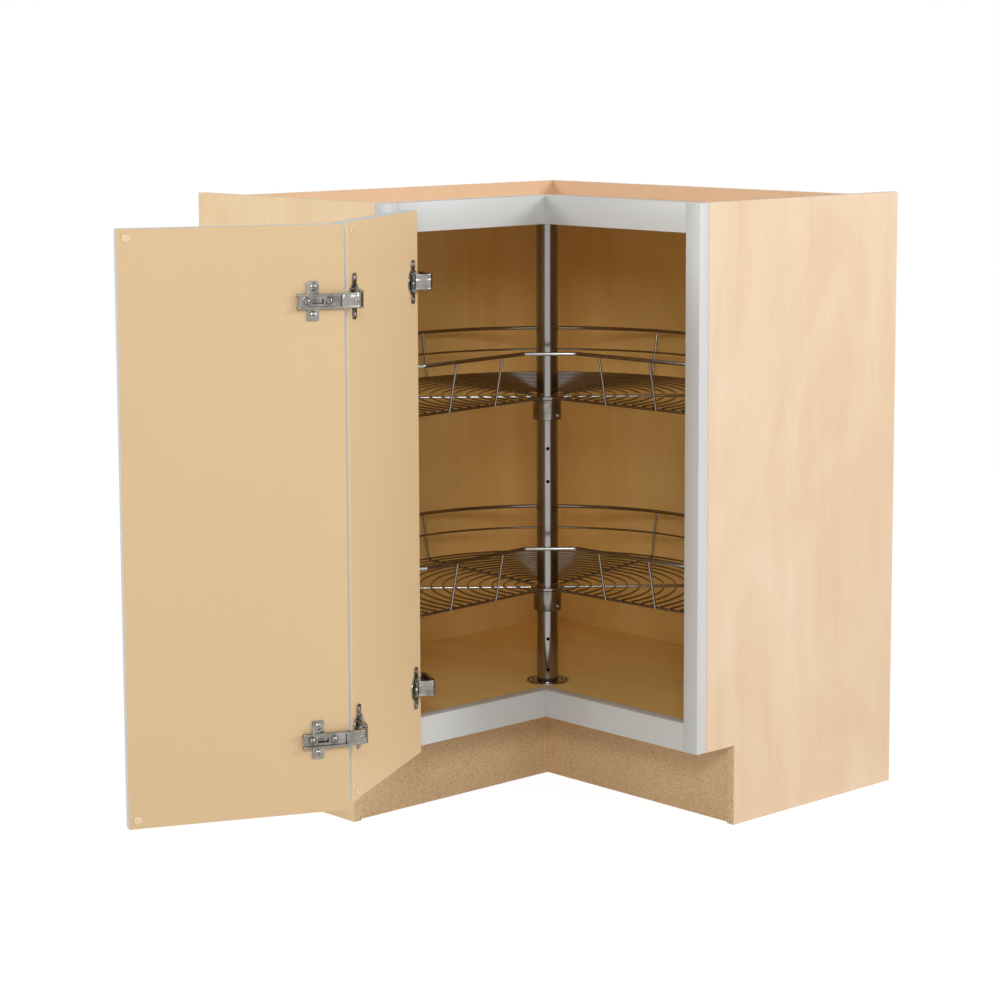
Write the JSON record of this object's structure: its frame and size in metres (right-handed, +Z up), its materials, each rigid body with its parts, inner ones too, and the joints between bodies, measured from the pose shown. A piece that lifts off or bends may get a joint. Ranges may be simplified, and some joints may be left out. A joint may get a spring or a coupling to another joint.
{
  "type": "corner carousel cabinet",
  "caption": "Pie-cut corner base cabinet with a turning pole that carries two chrome wire baskets, and a bi-fold door hung on concealed hinges.",
  "frame": {"origin": "on the floor, under the middle of the whole object with its door open", "axes": "+Z up; the room corner is at -X +Y: the back wall is on the +Y side, the other wall on the -X side, and the door opening faces +X -Y"},
  "size_m": [0.7208, 1.2053, 0.8763],
  "materials": {
    "grey_paint": "satin grey paint on hardwood",
    "maple_laminate": "maple-print laminate",
    "amber_maple": "amber maple print, satin",
    "raw_chipboard": "raw particle board",
    "door_melamine": "beige melamine inside, grey paint outside",
    "chrome_wire": "bright chrome plate",
    "nickel_hardware": "nickel plate",
    "nylon_bush": "natural nylon",
    "clear_bumper": "clear soft bumper"
  },
  "bodies": {
    "carcass": {"left_side_panel": "maple_laminate", "left_back_panel": "amber_maple", "left_toe_board": "raw_chipboard", "left_stile": "grey_paint", "left_top_rail": "grey_paint", "left_bottom_rail": "grey_paint", "right_side_panel": "maple_laminate", "right_back_panel": "amber_maple", "right_toe_board": "raw_chipboard", "right_stile": "grey_paint", "right_top_rail": "grey_paint", "right_bottom_rail": "grey_paint", "floor_panel": "amber_maple", "top_deck": "amber_maple", "base_flange": "chrome_wire", "base_bush": "nylon_bush", "base_flange_screw_left": "nickel_hardware", "base_flange_screw_right": "nickel_hardware", "head_flange": "chrome_wire", "head_bush": "nylon_bush", "head_flange_screw_left": "nickel_hardware", "head_flange_screw_right": "nickel_hardware", "upper_frame_hinge_fork": "nickel_hardware", "upper_frame_hinge_pin": "nickel_hardware", "lower_frame_hinge_fork": "nickel_hardware", "lower_frame_hinge_pin": "nickel_hardware"},
    "carousel": {"pole": "chrome_wire", "lower_basket_floor": "chrome_wire", "lower_basket_rail": "chrome_wire", "lower_hub": "nickel_hardware", "lower_set_screw": "nickel_hardware", "upper_basket_floor": "chrome_wire", "upper_basket_rail": "chrome_wire", "upper_hub": "nickel_hardware", "upper_set_screw": "nickel_hardware"},
    "leaf_a": {"door_leaf_a": "door_melamine", "upper_frame_hinge_cup": "nickel_hardware", "upper_fold_hinge_cup": "nickel_hardware", "upper_fold_hinge_pin": "nickel_hardware", "lower_frame_hinge_cup": "nickel_hardware", "lower_fold_hinge_cup": "nickel_hardware", "lower_fold_hinge_pin": "nickel_hardware", "leaf_a_top_bumper": "clear_bumper", "leaf_a_bottom_bumper": "clear_bumper"},
    "leaf_b": {"door_leaf_b": "door_melamine", "upper_fold_hinge_arm": "nickel_hardware", "upper_fold_hinge_plate": "nickel_hardware", "lower_fold_hinge_arm": "nickel_hardware", "lower_fold_hinge_plate": "nickel_hardware", "leaf_b_top_bumper": "clear_bumper", "leaf_b_bottom_bumper": "clear_bumper"},
    "hinge_links": {"upper_frame_hinge_link": "nickel_hardware", "lower_frame_hinge_link": "nickel_hardware"}
  },
  "joints": [
    {"name": "door_swing", "type": "hinge", "parent": "carcass", "child": "leaf_a", "pos_m": [0.07915, -0.10021, 0.493], "axis": [0, 0, -1], "range_deg": [-150.6, 14.4]},
    {"name": "leaf_fold", "type": "hinge", "parent": "leaf_a", "child": "leaf_b", "pos_m": [0.24997, -0.31904, 0.493], "axis": [0, 0, 1], "range_deg": [-36.2, 23.8]},
    {"name": "hinge_link_swing", "type": "hinge", "parent": "carcass", "child": "hinge_links", "pos_m": [0.04975, -0.07931, 0.493], "axis": [0, 0, -1], "range_deg": [-123.6, 11.9]},
    {"name": "carousel_turn", "type": "hinge", "parent": "carcass", "child": "carousel", "pos_m": [-0.03015, 0.27269, 0.1397], "axis": [0, 0, 1], "range_deg": [-360, 360]}
  ],
  "couplings": [
    {"joint": "leaf_fold", "follows": "door_swing", "ratio": 0.24},
    {"joint": "hinge_link_swing", "follows": "door_swing", "ratio": 0.82}
  ]
}
